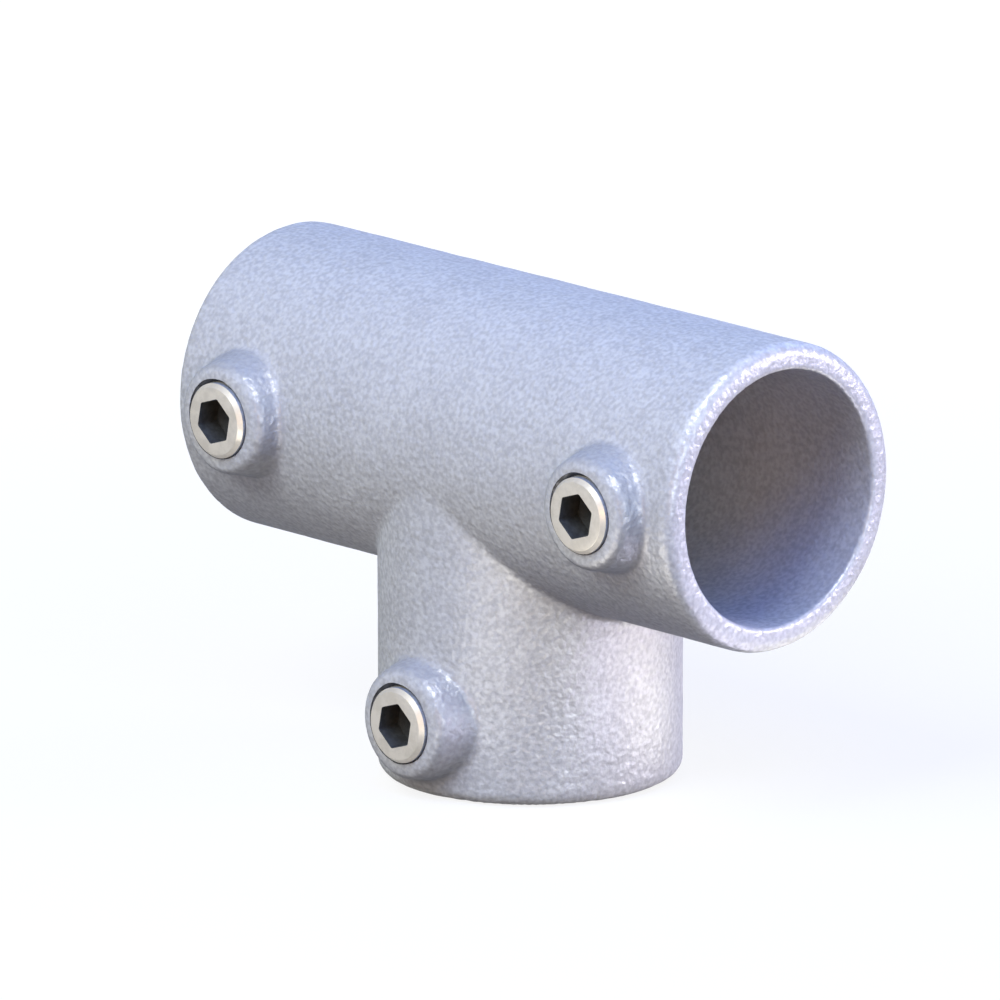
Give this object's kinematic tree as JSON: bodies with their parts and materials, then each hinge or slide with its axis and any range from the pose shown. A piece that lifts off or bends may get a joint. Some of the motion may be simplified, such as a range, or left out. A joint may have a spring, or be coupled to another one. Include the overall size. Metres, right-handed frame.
{
  "type": "tube clamp tee fitting",
  "caption": "Cast galvanised clamp tee for round tube: a long through sleeve, a branch socket under its middle, and hexagon-socket set screws in bosses that clamp the tubes.",
  "frame": {"origin": "where the rail sleeve's axis crosses the branch socket's axis", "axes": "+X along the rail sleeve; -Y is the side of the set screws; the branch socket opens towards -Z, and the part stands on that end"},
  "size_m": [0.135, 0.0667, 0.096],
  "materials": {
    "galvanised_iron": "hot-dip galvanised, matt to satin, with a fine cast grain",
    "plated_steel": "zinc plated with a warm cast, turned faces"
  },
  "bodies": {
    "casting": {"tee_casting": "galvanised_iron"},
    "left_screw": {"set_screw_left": "plated_steel"},
    "right_screw": {"set_screw_right": "plated_steel"},
    "branch_screw": {"set_screw_branch": "plated_steel"}
  },
  "joints": [
    {"name": "left_screw_travel", "type": "slide", "parent": "casting", "child": "left_screw", "axis": [0, -1, 0], "range_m": [-0.00267, 0.00668]},
    {"name": "right_screw_travel", "type": "slide", "parent": "casting", "child": "right_screw", "axis": [0, -1, 0], "range_m": [-0.00267, 0.00668]},
    {"name": "branch_screw_travel", "type": "slide", "parent": "casting", "child": "branch_screw", "axis": [0, -1, 0], "range_m": [-0.00267, 0.00668]}
  ]
}
